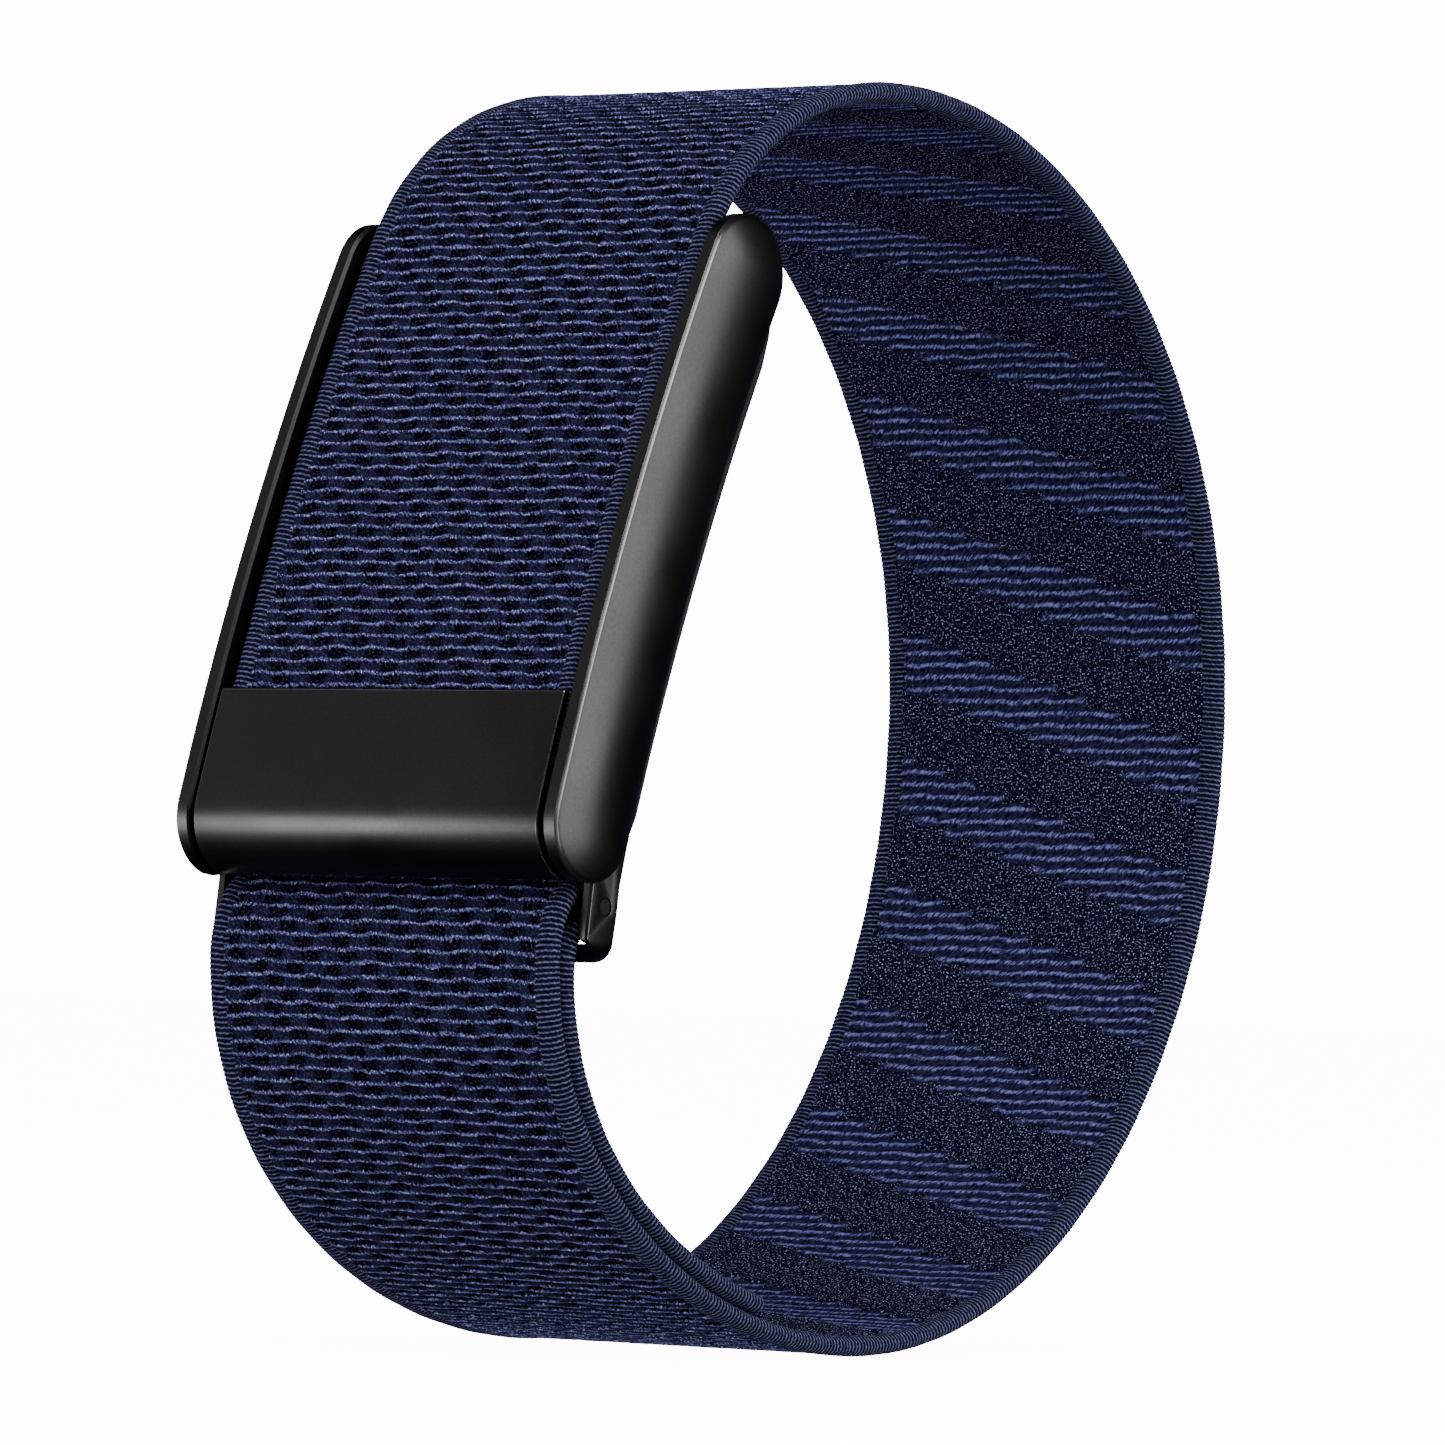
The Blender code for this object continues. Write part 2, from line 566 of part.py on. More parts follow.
def cover_gasket(parent):
    """A flat seal all round the tray's rim."""
    n_low = COVER_SEAT + FIT / 2
    n_high = n_low + GASKET_THICKNESS
    low, high = core_ends(0.0)
    outer = rounded(CORE_HALF_WIDTH - FIT, low + 0.3 * MM, high - 0.3 * MM, 0.8 * MM)
    inner = rounded(CORE_HALF_WIDTH - FIT - GASKET_WIDTH, low + 0.3 * MM + GASKET_WIDTH,
                    high - 0.3 * MM - GASKET_WIDTH, 0.4 * MM)
    outlines = ((n_low, outer), (n_high, outer), (n_high, inner), (n_low, inner))
    return level_block("cover_gasket", outlines, SEAL_RUBBER, parent, closed=True)


def pill(inset):
    """The side cap's outline in (s, n), drawn in by an inset."""
    radius = POD_HALF_DEPTH - inset
    outline = arc((CAP_END, 0.0), (radius, radius), -90, 90, 12)
    outline += arc((-CAP_END, 0.0), (radius, radius), 90, 270, 12)
    return outline


def side_cap(side_name, sign, parent):
    """A pill-shaped end cap: a flange that stands beside the strap, and a domed outer side."""
    stations = [(CAP_INNER, CAP_CHAMFER), (CAP_INNER + CAP_CHAMFER, 0.0),
                (CAP_RIM - CAP_CHAMFER, 0.0), (CAP_RIM, CAP_CHAMFER)]
    for k in range(1, 6):
        turn = math.radians(80 * k / 5)
        stations.append((CAP_RIM + CAP_DOME * math.sin(turn),
                         CAP_CHAMFER + (POD_HALF_DEPTH - CAP_CHAMFER) * (1 - math.cos(turn))))
    rings = [[(sign * x, s, n) for s, n in pill(inset)] for x, inset in stations]
    cap = loft(f"side_cap_{side_name}", rings, BLACK_METAL, parent, pod_point)
    radius = math.dist((FRAME_ARM_FRONT, FRAME_TOP_Z), (PIVOT_Y, PIVOT_Z)) + CLEARANCE + 0.3 * MM
    low, high = sorted((sign * (CAP_INNER - 1.0 * MM), sign * (FRAME_OUTER + FIT)))
    pocket = arc((PIVOT_Y, PIVOT_Z), (radius, radius), 180, 0, 14)
    pocket += [(PIVOT_Y + radius + 3.0 * MM, PIVOT_Z), (PIVOT_Y + radius + 3.0 * MM, PIVOT_Z - 6.0 * MM),
               (PIVOT_Y - radius, PIVOT_Z - 6.0 * MM)]
    slot = loft(f"cap_slot_cutter_{side_name}",
                [[(x, y, z) for y, z in pocket] for x in (low, high)], BLACK_METAL, parent)
    cut(cap, slot)
    return cap


# ---------------------------------------------------------------- the pod's works

def sensor_window(parent):
    """The clear window against the skin, and the bezel ring that it is bonded in."""
    outline = rounded(WINDOW_WIDTH / 2, -WINDOW_LENGTH / 2, WINDOW_LENGTH / 2, 1.2 * MM)
    level_block("sensor_window", [(SKIN_FACE, outline), (SKIN_FACE + WINDOW_THICKNESS, outline)],
                WINDOW_GLASS, parent, pod_flat)
    inner = rounded(WINDOW_WIDTH / 2 + FIT, -WINDOW_LENGTH / 2 - FIT, WINDOW_LENGTH / 2 + FIT, 1.3 * MM)
    outer = rounded(WINDOW_WIDTH / 2 + BEZEL_WIDTH, -WINDOW_LENGTH / 2 - BEZEL_WIDTH,
                    WINDOW_LENGTH / 2 + BEZEL_WIDTH, 2.0 * MM)
    near, far = SKIN_FACE + 0.1 * MM, SKIN_FACE + WINDOW_THICKNESS
    outlines = ((near, outer), (far, outer), (far, inner), (near, inner))
    level_block("sensor_bezel", outlines, BLACK_METAL, parent, pod_flat, closed=True)


def optical_parts(parent):
    """The board behind the window, with its emitters and light sensors."""
    skin_side = SKIN_FACE + WINDOW_THICKNESS + FIT + EMITTER_THICKNESS + FIT
    tile("optical_board", (0.0, 0.0), (OPTICAL_WIDTH, OPTICAL_LENGTH), skin_side,
         skin_side + OPTICAL_THICKNESS, BOARD_GREEN, parent, 0.6 * MM, pod_flat)
    n_high = skin_side - FIT
    n_low = n_high - EMITTER_THICKNESS
    emitters = (("led_green_left", (-2.6 * MM, 0.0), LED_GREEN), ("led_green_right", (2.6 * MM, 0.0), LED_GREEN),
                ("led_red_infrared", (0.0, 0.0), LED_RED))
    for name, centre, finish in emitters:
        tile(name, centre, (1.2 * MM, 1.2 * MM), n_low, n_high, finish, parent, 0.2 * MM, pod_flat)
    sensors = (("upper", (0.0, 4.4 * MM)), ("lower", (0.0, -4.4 * MM)),
               ("left", (-2.6 * MM, 2.4 * MM)), ("right", (2.6 * MM, 2.4 * MM)))
    for name, centre in sensors:
        tile(f"photodiode_{name}", centre, (2.2 * MM, 2.0 * MM), n_low, n_high, SILICON, parent, 0.2 * MM,
             pod_flat)


def power_parts(parent):
    """The battery over the optical board, and the charging coil under the front cover."""
    n_low = BATTERY_N
    tile("battery_cell", (0.0, BATTERY_S), (BATTERY_WIDTH, BATTERY_LENGTH), n_low, n_low + BATTERY_THICKNESS,
         BATTERY_FOIL, parent, 1.0 * MM)
    n_high = COVER_SEAT - FIT
    bore = COIL_RADIUS - COIL_BAND
    outlines = []
    for n, radius in ((n_high - COIL_THICKNESS, COIL_RADIUS), (n_high, COIL_RADIUS),
                      (n_high, bore), (n_high - COIL_THICKNESS, bore)):
        outlines.append((n, arc((0.0, 0.0), (radius, radius), 0, 360, 32)[:-1]))
    level_block("charging_coil", outlines, COPPER, parent, closed=True)


def board_parts(parent):
    """The main board between the coil and the battery, its chips, antenna and the flex to the optical board."""
    n_high = COVER_SEAT - FIT - COIL_THICKNESS - FIT
    n_low = n_high - BOARD_THICKNESS
    tile("main_board", (0.0, BOARD_S), (BOARD_WIDTH, BOARD_LENGTH), n_low, n_high, BOARD_GREEN, parent,
         0.8 * MM)
    below = n_low - FIT
    chips = (("processor_chip", (-4.2 * MM, CHIP_S), (4.0 * MM, 3.6 * MM)),
             ("radio_chip", (0.4 * MM, CHIP_S), (3.2 * MM, 3.2 * MM)),
             ("motion_sensor_chip", (4.6 * MM, CHIP_S), (2.5 * MM, 2.5 * MM)))
    for name, centre, size in chips:
        tile(name, centre, size, below - CHIP_THICKNESS, below, SILICON, parent, 0.2 * MM)
    tile("antenna_strip", (0.0, ANTENNA_S), (12.0 * MM, 1.2 * MM), n_low, n_low + 0.2 * MM, COPPER, parent,
         0.2 * MM)
    motor_high = below - CHIP_THICKNESS - FIT
    disc("vibration_motor", (0.0, MOTOR_S), MOTOR_RADIUS, motor_high - MOTOR_THICKNESS, motor_high, STEEL,
         parent)
    flex_x = BATTERY_WIDTH / 2 + 0.35 * MM
    optical_top = SKIN_FACE + WINDOW_THICKNESS + 2 * FIT + EMITTER_THICKNESS + OPTICAL_THICKNESS + 0.25 * MM
    tile("flex_cable", (flex_x + 0.15 * MM, -1.0 * MM), (0.25 * MM, 4.0 * MM), optical_top, below, FLEX_AMBER,
         parent, 0.1 * MM)


def temperature_sensor(parent):
    """A small metal disc against the skin, above the window."""
    disc("skin_temperature_sensor", (0.0, TEMPERATURE_S), TEMPERATURE_RADIUS, SKIN_FACE + 0.25 * MM,
         SKIN_FACE + WALL + 0.25 * MM, STEEL, parent)


for old in list(bpy.data.objects):
    bpy.data.objects.remove(old)

WEAVE = material("navy_weave", (0.012, 0.014, 0.06), 0.9)
BLACK_METAL = material("black_metal", (0.012, 0.012, 0.013), 0.35, 1.0)
CASE_PLASTIC = material("black_plastic", (0.012, 0.012, 0.013), 0.45)
SEAL_RUBBER = material("seal_rubber", (0.03, 0.03, 0.03), 0.8)
STEEL = material("steel", (0.5, 0.5, 0.52), 0.3, 1.0)
WINDOW_GLASS = material("window_glass", (0.05, 0.05, 0.06), 0.08, 0.0, 0.4)
BOARD_GREEN = material("board_green", (0.01, 0.12, 0.05), 0.5)
SILICON = material("chip_black", (0.03, 0.03, 0.035), 0.4)
LED_GREEN = material("led_green", (0.1, 0.8, 0.2), 0.3)
LED_RED = material("led_red", (0.8, 0.05, 0.05), 0.3)
BATTERY_FOIL = material("battery_foil", (0.6, 0.6, 0.62), 0.4, 1.0)
COPPER = material("copper", (0.7, 0.3, 0.15), 0.35, 1.0)
FLEX_AMBER = material("flex_amber", (0.6, 0.3, 0.05), 0.5)


def joint_axis(name, y, z):
    """An empty on a joint's axis, which carries the pieces that turn about it."""
    axis = bpy.data.objects.new(name, None)
    axis.location = (0.0, y - MIDDLE_Y, z + GROUND_Z)
    axis.empty_display_size = 5.0 * MM
    bpy.context.collection.objects.link(axis)
    return axis


flap_axis = joint_axis("flap_axis", *pod_point(STRAP_EXIT, STRAP_LEVEL + STRAP_THICKNESS / 2))
hook_axis = joint_axis("hook_axis", *pod_point(HOOK_TOP, POD_HALF_DEPTH))
pod_axis = joint_axis("pod_axis", PIVOT_Y, PIVOT_Z)
tail_axis = joint_axis("tail_axis", TAIL_Y + STRAP_THICKNESS / 2, LOW_FRONT_Z - FIT)

strap_ring()
strap_fold()
strap_tail(tail_axis)
face_strap(flap_axis)
strap_hem(hook_axis)
hook_plate(hook_axis)
strap_end_bar(hook_axis)
loop_frame()
strap_bar()
pod_back_shell(pod_axis)
pod_front_cover(pod_axis)
cover_gasket(pod_axis)
sensor_window(pod_axis)
optical_parts(pod_axis)
power_parts(pod_axis)
board_parts(pod_axis)
temperature_sensor(pod_axis)
for side, direction in SIDES:
    side_cap(side, direction, pod_axis)
    frame_pin(side, direction, pod_axis)
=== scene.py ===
import json
import math

import bpy
import numpy as np
from mathutils import Matrix, Vector


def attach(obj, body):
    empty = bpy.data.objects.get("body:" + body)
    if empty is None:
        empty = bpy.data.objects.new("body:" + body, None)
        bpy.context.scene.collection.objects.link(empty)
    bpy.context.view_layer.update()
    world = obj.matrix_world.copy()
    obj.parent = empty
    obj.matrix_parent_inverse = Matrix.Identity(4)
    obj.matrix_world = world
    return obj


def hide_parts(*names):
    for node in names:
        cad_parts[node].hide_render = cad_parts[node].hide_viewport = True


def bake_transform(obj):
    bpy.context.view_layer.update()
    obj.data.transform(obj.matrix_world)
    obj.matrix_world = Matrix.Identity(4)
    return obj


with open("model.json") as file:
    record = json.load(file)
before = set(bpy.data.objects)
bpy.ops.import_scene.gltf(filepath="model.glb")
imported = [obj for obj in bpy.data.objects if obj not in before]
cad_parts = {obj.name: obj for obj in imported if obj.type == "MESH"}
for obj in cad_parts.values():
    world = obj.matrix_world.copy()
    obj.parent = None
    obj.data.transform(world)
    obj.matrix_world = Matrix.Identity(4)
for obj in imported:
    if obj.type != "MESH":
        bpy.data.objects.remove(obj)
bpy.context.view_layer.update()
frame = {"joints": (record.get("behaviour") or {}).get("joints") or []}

# The path of the woven strap: from the end held in the hook, up the pod's face, over the crown, round the
# back and the foot, up into the buckle frame, over its bar and back down inside the loop. It is worked out
# in millimetres about the loop's middle, then measured off along its own length.
MM = 0.001
LOOP_MIDDLE = (0.000685, 0.03115)
LEAN = math.radians(22.0)
POD_ARC = 165.0
POD_CENTRE = (-21.4, 8.0)
CAP_END = 14.45
HOOK_TOP = -8.75
STRAP_LEVEL = 1.88


def on_pod(s, n):
    turn = LEAN + np.asarray(s) / POD_ARC
    reach = POD_ARC + np.asarray(n)
    y = POD_CENTRE[0] + POD_ARC * math.cos(LEAN) - reach * np.cos(turn)
    z = POD_CENTRE[1] - POD_ARC * math.sin(LEAN) + reach * np.sin(turn)
    return np.stack([y, z], axis=-1)


def bow(centre, radii, start, end, count=400):
    turn = np.radians(np.linspace(start, end, count))
    return np.stack([centre[0] + radii[0] * np.cos(turn), centre[1] + radii[1] * np.sin(turn)], axis=-1)


def crown_rise(start, crown):
    aim = start - on_pod(15.55, STRAP_LEVEL)
    span = np.linalg.norm(crown - start)
    leave = aim / np.linalg.norm(aim) * span * 0.95
    arrive = np.array([1.25 * span, 0.0])
    t = np.linspace(0, 1, 400)[:, None]
    return (start * (2 * t**3 - 3 * t**2 + 1) + leave * (t**3 - 2 * t**2 + t)
            + crown * (3 * t**2 - 2 * t**3) + arrive * (t**3 - t**2))


bar_y, bar_z, wrap = -24.92, -9.568, 1.0
low_y, low_z, tail_y = -27.32, -12.268, -26.17
stretches = [
    on_pod(np.linspace(HOOK_TOP - 3.5, 15.65, 400), STRAP_LEVEL),
    crown_rise(on_pod(15.65, STRAP_LEVEL), np.array([-1.0, 31.1])),
    bow((-1.0, 1.5), (28.3, 29.6), 90, 0),
    bow((-2.0, 1.5), (29.3, 32.2), 0, -90),
    bow((-2.0, low_z), (-2.0 - low_y, low_z + 30.7), -90, -180),
    bow((bar_y, low_z), (bar_y - low_y, bar_z + wrap - low_z), 180, 90),
    bow((bar_y, bar_z), (wrap, wrap), 90, -90),
    bow((bar_y, low_z), (bar_y - tail_y, bar_z - wrap - low_z), 90, 180),
    bow((-2.0, low_z - 0.1), (24.17, 17.28), 180, 251),
]
marks = np.cumsum([np.linalg.norm(np.diff(s, axis=0), axis=1).sum() for s in stretches])
route = np.concatenate([stretches[0]] + [s[1:] for s in stretches[1:]])
steps = np.linalg.norm(np.diff(route, axis=0), axis=1)
route = route[np.concatenate([[True], steps > 1e-6])]
mileage = np.concatenate([[0], np.cumsum(np.linalg.norm(np.diff(route, axis=0), axis=1))])
even = np.arange(0, mileage[-1], 0.05)
even_route = np.stack([np.interp(even, mileage, route[:, k]) for k in (0, 1)], axis=-1)
heading = np.gradient(even_route, axis=0)
soften = np.ones(7) / 7
padded = np.pad(heading, ((3, 3), (0, 0)), mode="edge")
heading = np.stack([np.convolve(padded[:, k], soften, "valid") for k in (0, 1)], axis=-1)
heading /= np.linalg.norm(heading, axis=1)[:, None]


def lay(x, along, out):
    """Points of the strap in metres: across, along its length and out from the middle of its thickness."""
    y, z = (np.interp(along, even, even_route[:, k]) for k in (0, 1))
    ty, tz = (np.interp(along, even, heading[:, k]) for k in (0, 1))
    size = np.hypot(ty, tz)
    return np.stack([x * MM, (y - tz / size * out) * MM + LOOP_MIDDLE[0],
                     (z + ty / size * out) * MM + LOOP_MIDDLE[1]], axis=-1)


# The yarn: a polyester weft over a dark navy warp. One group gives a twisted thread's line, its strands
# and its bright specks, which are painted sheen glints, and each cloth surface lays it at its own pitch.
def math_node(tree, operation, *values):
    node = tree.nodes.new("ShaderNodeMath")
    node.operation = operation
    for socket, value in zip(node.inputs, values):
        if isinstance(value, (int, float)):
            socket.default_value = value
        else:
            tree.links.new(value, socket)
    return node.outputs[0]


def times(tree, first, second):
    return math_node(tree, "MULTIPLY", first, second)


def plus(tree, first, second):
    return math_node(tree, "ADD", first, second)


def ramp(tree, value, low, high, to_low=0.0, to_high=1.0):
    node = tree.nodes.new("ShaderNodeMapRange")
    node.interpolation_type = "SMOOTHSTEP"
    tree.links.new(value, node.inputs["Value"])
    for name, amount in (("From Min", low), ("From Max", high), ("To Min", to_low), ("To Max", to_high)):
        node.inputs[name].default_value = amount
    return node.outputs["Result"]


def mixed(tree, share, first, second):
    node = tree.nodes.new("ShaderNodeMix")
    node.data_type = "RGBA"
    for socket, value in ((node.inputs[0], share), (node.inputs[6], first), (node.inputs[7], second)):
        if hasattr(value, "is_linked"):
            tree.links.new(value, socket)
        elif isinstance(value, tuple):
            socket.default_value = (*value, 1.0)
        else:
            socket.default_value = value
    return node.outputs[2]


def noise_value(tree, vector, scale, detail=2.0):
    node = tree.nodes.new("ShaderNodeTexNoise")
    node.inputs["Scale"].default_value = scale
    node.inputs["Detail"].default_value = detail
    tree.links.new(vector, node.inputs["Vector"])
    return node.outputs["Fac"]


def joined(tree, x, y):
    node = tree.nodes.new("ShaderNodeCombineXYZ")
    tree.links.new(x, node.inputs[0])
    tree.links.new(y, node.inputs[1])
    return node.outputs[0]


def twisted_thread():
    tree = bpy.data.node_groups.new("twisted_thread", "ShaderNodeTree")
    for name in ("Across", "Along", "Pitch", "Half Width"):
        tree.interface.new_socket(name=name, in_out="INPUT", socket_type="NodeSocketFloat")
    for name in ("Line", "Strand", "Glint"):
        tree.interface.new_socket(name=name, in_out="OUTPUT", socket_type="NodeSocketFloat")
    given = tree.nodes.new("NodeGroupInput").outputs
    result = tree.nodes.new("NodeGroupOutput").inputs
    fuzz = noise_value(tree, joined(tree, times(tree, given["Across"], 6.5),
                                    times(tree, given["Along"], 2.0)), 1.0, 3.0)
    stray = times(tree, math_node(tree, "SUBTRACT", fuzz, 0.5), 0.52)
    row = plus(tree, math_node(tree, "DIVIDE", given["Along"], given["Pitch"]), stray)
    away = math_node(tree, "ABSOLUTE", math_node(tree, "SUBTRACT", row, math_node(tree, "ROUND", row)))
    near = math_node(tree, "SUBTRACT", 1.0, math_node(tree, "DIVIDE", away, given["Half Width"]))
    tree.links.new(ramp(tree, near, -0.15, 0.65), result["Line"])
    slant = plus(tree, times(tree, given["Across"], 7.5),
                      times(tree, given["Along"], 7.0))
    strands = joined(tree, slant, times(tree, given["Along"], 3.5))
    tree.links.new(ramp(tree, noise_value(tree, strands, 1.0), 0.40, 0.62), result["Strand"])
    # The specks are painted glints: fine spots of the fibres' sheen, set into the colour.
    fine = joined(tree, given["Across"], given["Along"])
    tree.links.new(ramp(tree, noise_value(tree, fine, 10.0, 1.5), 0.54, 0.72), result["Glint"])
    return tree


THREAD = twisted_thread()


def thread(tree, across, along, pitch, half_width):
    node = tree.nodes.new("ShaderNodeGroup")
    node.node_tree = THREAD
    tree.links.new(across, node.inputs["Across"])
    tree.links.new(along, node.inputs["Along"])
    node.inputs["Pitch"].default_value = pitch
    node.inputs["Half Width"].default_value = half_width
    return node.outputs["Line"], node.outputs["Strand"], node.outputs["Glint"]


def cloth(name, roughness):
    """An empty cloth material with its own weave coordinates, in millimetres across and along."""
    material = bpy.data.materials.new(name)
    material.use_nodes = True
    tree = material.node_tree
    shader = tree.nodes["Principled BSDF"]
    shader.inputs["Roughness"].default_value = roughness
    shader.inputs["Specular IOR Level"].default_value = 0.0
    coordinates = tree.nodes.new("ShaderNodeUVMap")
    coordinates.uv_map = "weave"
    parts = tree.nodes.new("ShaderNodeSeparateXYZ")
    tree.links.new(coordinates.outputs[0], parts.inputs[0])
    return material, tree, shader, parts.outputs[0], parts.outputs[1]


def raise_by(tree, shader, height, distance, strength):
    bump = tree.nodes.new("ShaderNodeBump")
    bump.inputs["Strength"].default_value = strength
    bump.inputs["Distance"].default_value = distance
    tree.links.new(height, bump.inputs["Height"])
    tree.links.new(bump.outputs[0], shader.inputs["Normal"])


# The strap's outer face: a bright twisted weft line every row, and between the lines oblong floats that
# alternate with hollows like staggered bricks. Each row is set off from the one above it.
ROW = 0.64
BRICK = 2.3
BRICK_SHIFT = 0.41


def outer_cloth():
    material, tree, shader, across, along = cloth("navy_weave_outer", 0.7)
    line, strand, glint_speck = thread(tree, across, along, ROW, 0.15)
    row = math_node(tree, "FLOOR", math_node(tree, "DIVIDE", along, ROW))
    phase = plus(tree, math_node(tree, "DIVIDE", across, BRICK),
                      times(tree, row, BRICK_SHIFT))
    for size, rate in ((0.10, 2.4), (0.07, 5.3)):
        wobble = math_node(tree, "SINE", times(tree, row, rate))
        phase = plus(tree, phase, times(tree, wobble, size))
    place = math_node(tree, "FRACT", phase)
    # The hollows are darkened almost to black and their fibres faded: the warp's own dark navy, deepened by
    # painted shade in the recesses.
    hollow = times(tree, ramp(tree, place, 0.0, 0.06), ramp(tree, place, 0.46, 0.56, 1.0, 0.0))
    ground = mixed(tree, hollow, (0.0030, 0.0030, 0.0115), (0.0001, 0.0001, 0.0010))
    fibres = mixed(tree, strand, ground, (0.0100, 0.0102, 0.0320))
    thin = times(tree, hollow, -0.75)
    ground = mixed(tree, times(tree, plus(tree, thin, 0.95), strand), ground, fibres)
    lit = times(tree, line, plus(tree, times(tree, strand, 0.9), 0.1))
    colour = mixed(tree, lit, ground, (0.078, 0.078, 0.215))
    # Painted glints: bright specks of sheen, mostly on the raised weft lines, set into the colour.
    bright = times(tree, glint_speck, plus(tree, times(tree, line, 0.75), 0.08))
    tree.links.new(mixed(tree, bright, colour, (0.36, 0.37, 0.68)), shader.inputs["Base Color"])
    height = plus(tree, times(tree, strand, 0.6), times(tree, line, 0.5))
    raise_by(tree, shader, height, 0.00006, 0.7)
    return material


OUTER = outer_cloth()

# The strap's inner face, against the skin: a brushed plush pile crossed by slanting bands of bare ribs.
# Each rib starts and stops a step further across than the last, so the bands have stepped ends.
BAND = 6.7
BAND_FALL = 0.32
BAND_SHARE = 0.46
BAND_START = 3.1


def inner_cloth():
    material, tree, shader, across, along = cloth("navy_weave_inner", 0.8)
    line, strand, glint_speck = thread(tree, across, along, ROW, 0.21)
    row = times(tree, math_node(tree, "ROUND", math_node(tree, "DIVIDE", along, ROW)), ROW)
    slanted = math_node(tree, "SUBTRACT", row, times(tree, across, BAND_FALL))
    slanted = plus(tree, slanted, BAND_START)
    place = math_node(tree, "FRACT", math_node(tree, "DIVIDE", slanted, BAND))
    rib = times(tree, ramp(tree, place, 0.0, 0.035),
                    ramp(tree, place, BAND_SHARE - 0.03, BAND_SHARE + 0.03, 1.0, 0.0))
    # Painted glints: bright specks of sheen on the pile's tufts, set into the colour.
    tuft_glint = times(tree, glint_speck, glint_speck)
    pile = mixed(tree, tuft_glint, (0.0018, 0.0018, 0.0078), (0.300, 0.300, 0.580))
    ribbed = mixed(tree, strand, (0.0020, 0.0020, 0.0090), (0.0150, 0.0150, 0.0460))
    lit = times(tree, line, plus(tree, times(tree, strand, 0.9), 0.1))
    ribbed = mixed(tree, lit, ribbed, (0.115, 0.115, 0.300))
    tree.links.new(mixed(tree, rib, pile, ribbed), shader.inputs["Base Color"])
    height = plus(tree, times(tree, glint_speck, 0.8),
                       times(tree, times(tree, line, rib), 0.8))
    raise_by(tree, shader, height, 0.00005, 0.6)
    return material


INNER = inner_cloth()

# The strap's edges: both are whipped over with closely set stitches of grey-blue thread, which bind the
# face and the plush together and stand a little proud of them.
STITCH = 0.25


def whipped_edge():
    material, tree, shader, across, along = cloth("navy_whipping", 0.6)
    line, strand = thread(tree, across, along, STITCH, 0.22)[:2]
    ground = mixed(tree, strand, (0.0012, 0.0015, 0.0050), (0.0050, 0.0060, 0.0170))
    lit = times(tree, line, plus(tree, times(tree, strand, 0.5), 0.4))
    tree.links.new(mixed(tree, lit, ground, (0.085, 0.087, 0.170)), shader.inputs["Base Color"])
    raise_by(tree, shader, line, 0.00004, 0.6)
    return material


WHIPPING = whipped_edge()

# The strap's cloth is one length of narrow fabric, 21.4 mm wide and 0.9 mm thick, laid on that path. Its
# ribs and hollows are real relief, and one pattern runs through all its lengths so that no join shows.
CLOTH_HALF = 10.25
HALF_THICKNESS = 0.45
COLUMNS = 82


def smooth_step(value, low, high):
    t = np.clip((value - low) / (high - low), 0, 1)
    return t * t * (3 - 2 * t)


def drift(u, v):
    """How far each yarn strays along the strap from its true row, in millimetres."""
    return (0.032 * np.sin(2 * np.pi * (u / BRICK + BRICK_SHIFT * v / ROW))
            + 0.035 * np.sin(0.9 * u + 0.35 * v) + 0.025 * np.sin(2.1 * u - 0.8 * v + 1.3)
            + 0.015 * np.sin(4.7 * u + 1.9 * v))


def narrowing(v):
    """The strap is drawn in a little where the hook holds it."""
    return 0.97 + 0.03 * smooth_step(v, 3.1, 3.7)


def outer_relief(u, v):
    row = np.floor(v / ROW)
    between = np.sin(np.pi * (v / ROW - row))
    place = u / BRICK + BRICK_SHIFT * row + 0.10 * np.sin(2.4 * row) + 0.07 * np.sin(5.3 * row)
    place -= np.floor(place)
    hollow = smooth_step(place, 0.0, 0.10) * (1 - smooth_step(place, 0.42, 0.56))
    return -0.06 * between - 0.13 * hollow * between


def inner_relief(u, v):
    row = np.round(v / ROW)
    place = (row * ROW - BAND_FALL * u + BAND_START) / BAND
    place -= np.floor(place)
    rib = smooth_step(place, 0.0, 0.05) * (1 - smooth_step(place, BAND_SHARE - 0.04, BAND_SHARE + 0.04))
    between = np.abs(np.sin(np.pi * v / ROW))
    pile = 0.015 * np.sin(23.0 * u + 3 * np.sin(7.0 * v)) * np.sin(29.0 * v + 2 * np.sin(9.0 * u))
    return (1 - rib) * pile - rib * (0.07 + 0.09 * between)


def solid_mesh(name, points, faces, uvs, materials, face_material):
    mesh = bpy.data.meshes.new(name)
    mesh.from_pydata(points.tolist(), [], faces)
    layer = mesh.uv_layers.new(name="weave")
    corners = np.empty(len(mesh.loops), dtype=np.int32)
    mesh.loops.foreach_get("vertex_index", corners)
    layer.data.foreach_set("uv", uvs[corners].astype(np.float32).ravel())
    for material in materials:
        mesh.materials.append(material)
    mesh.polygons.foreach_set("material_index", np.asarray(face_material, dtype=np.int32))
    mesh.polygons.foreach_set("use_smooth", np.ones(len(mesh.polygons), dtype=bool))
    mesh.update()
    piece = bpy.data.objects.new(name, mesh)
    bpy.context.scene.collection.objects.link(piece)
    return piece


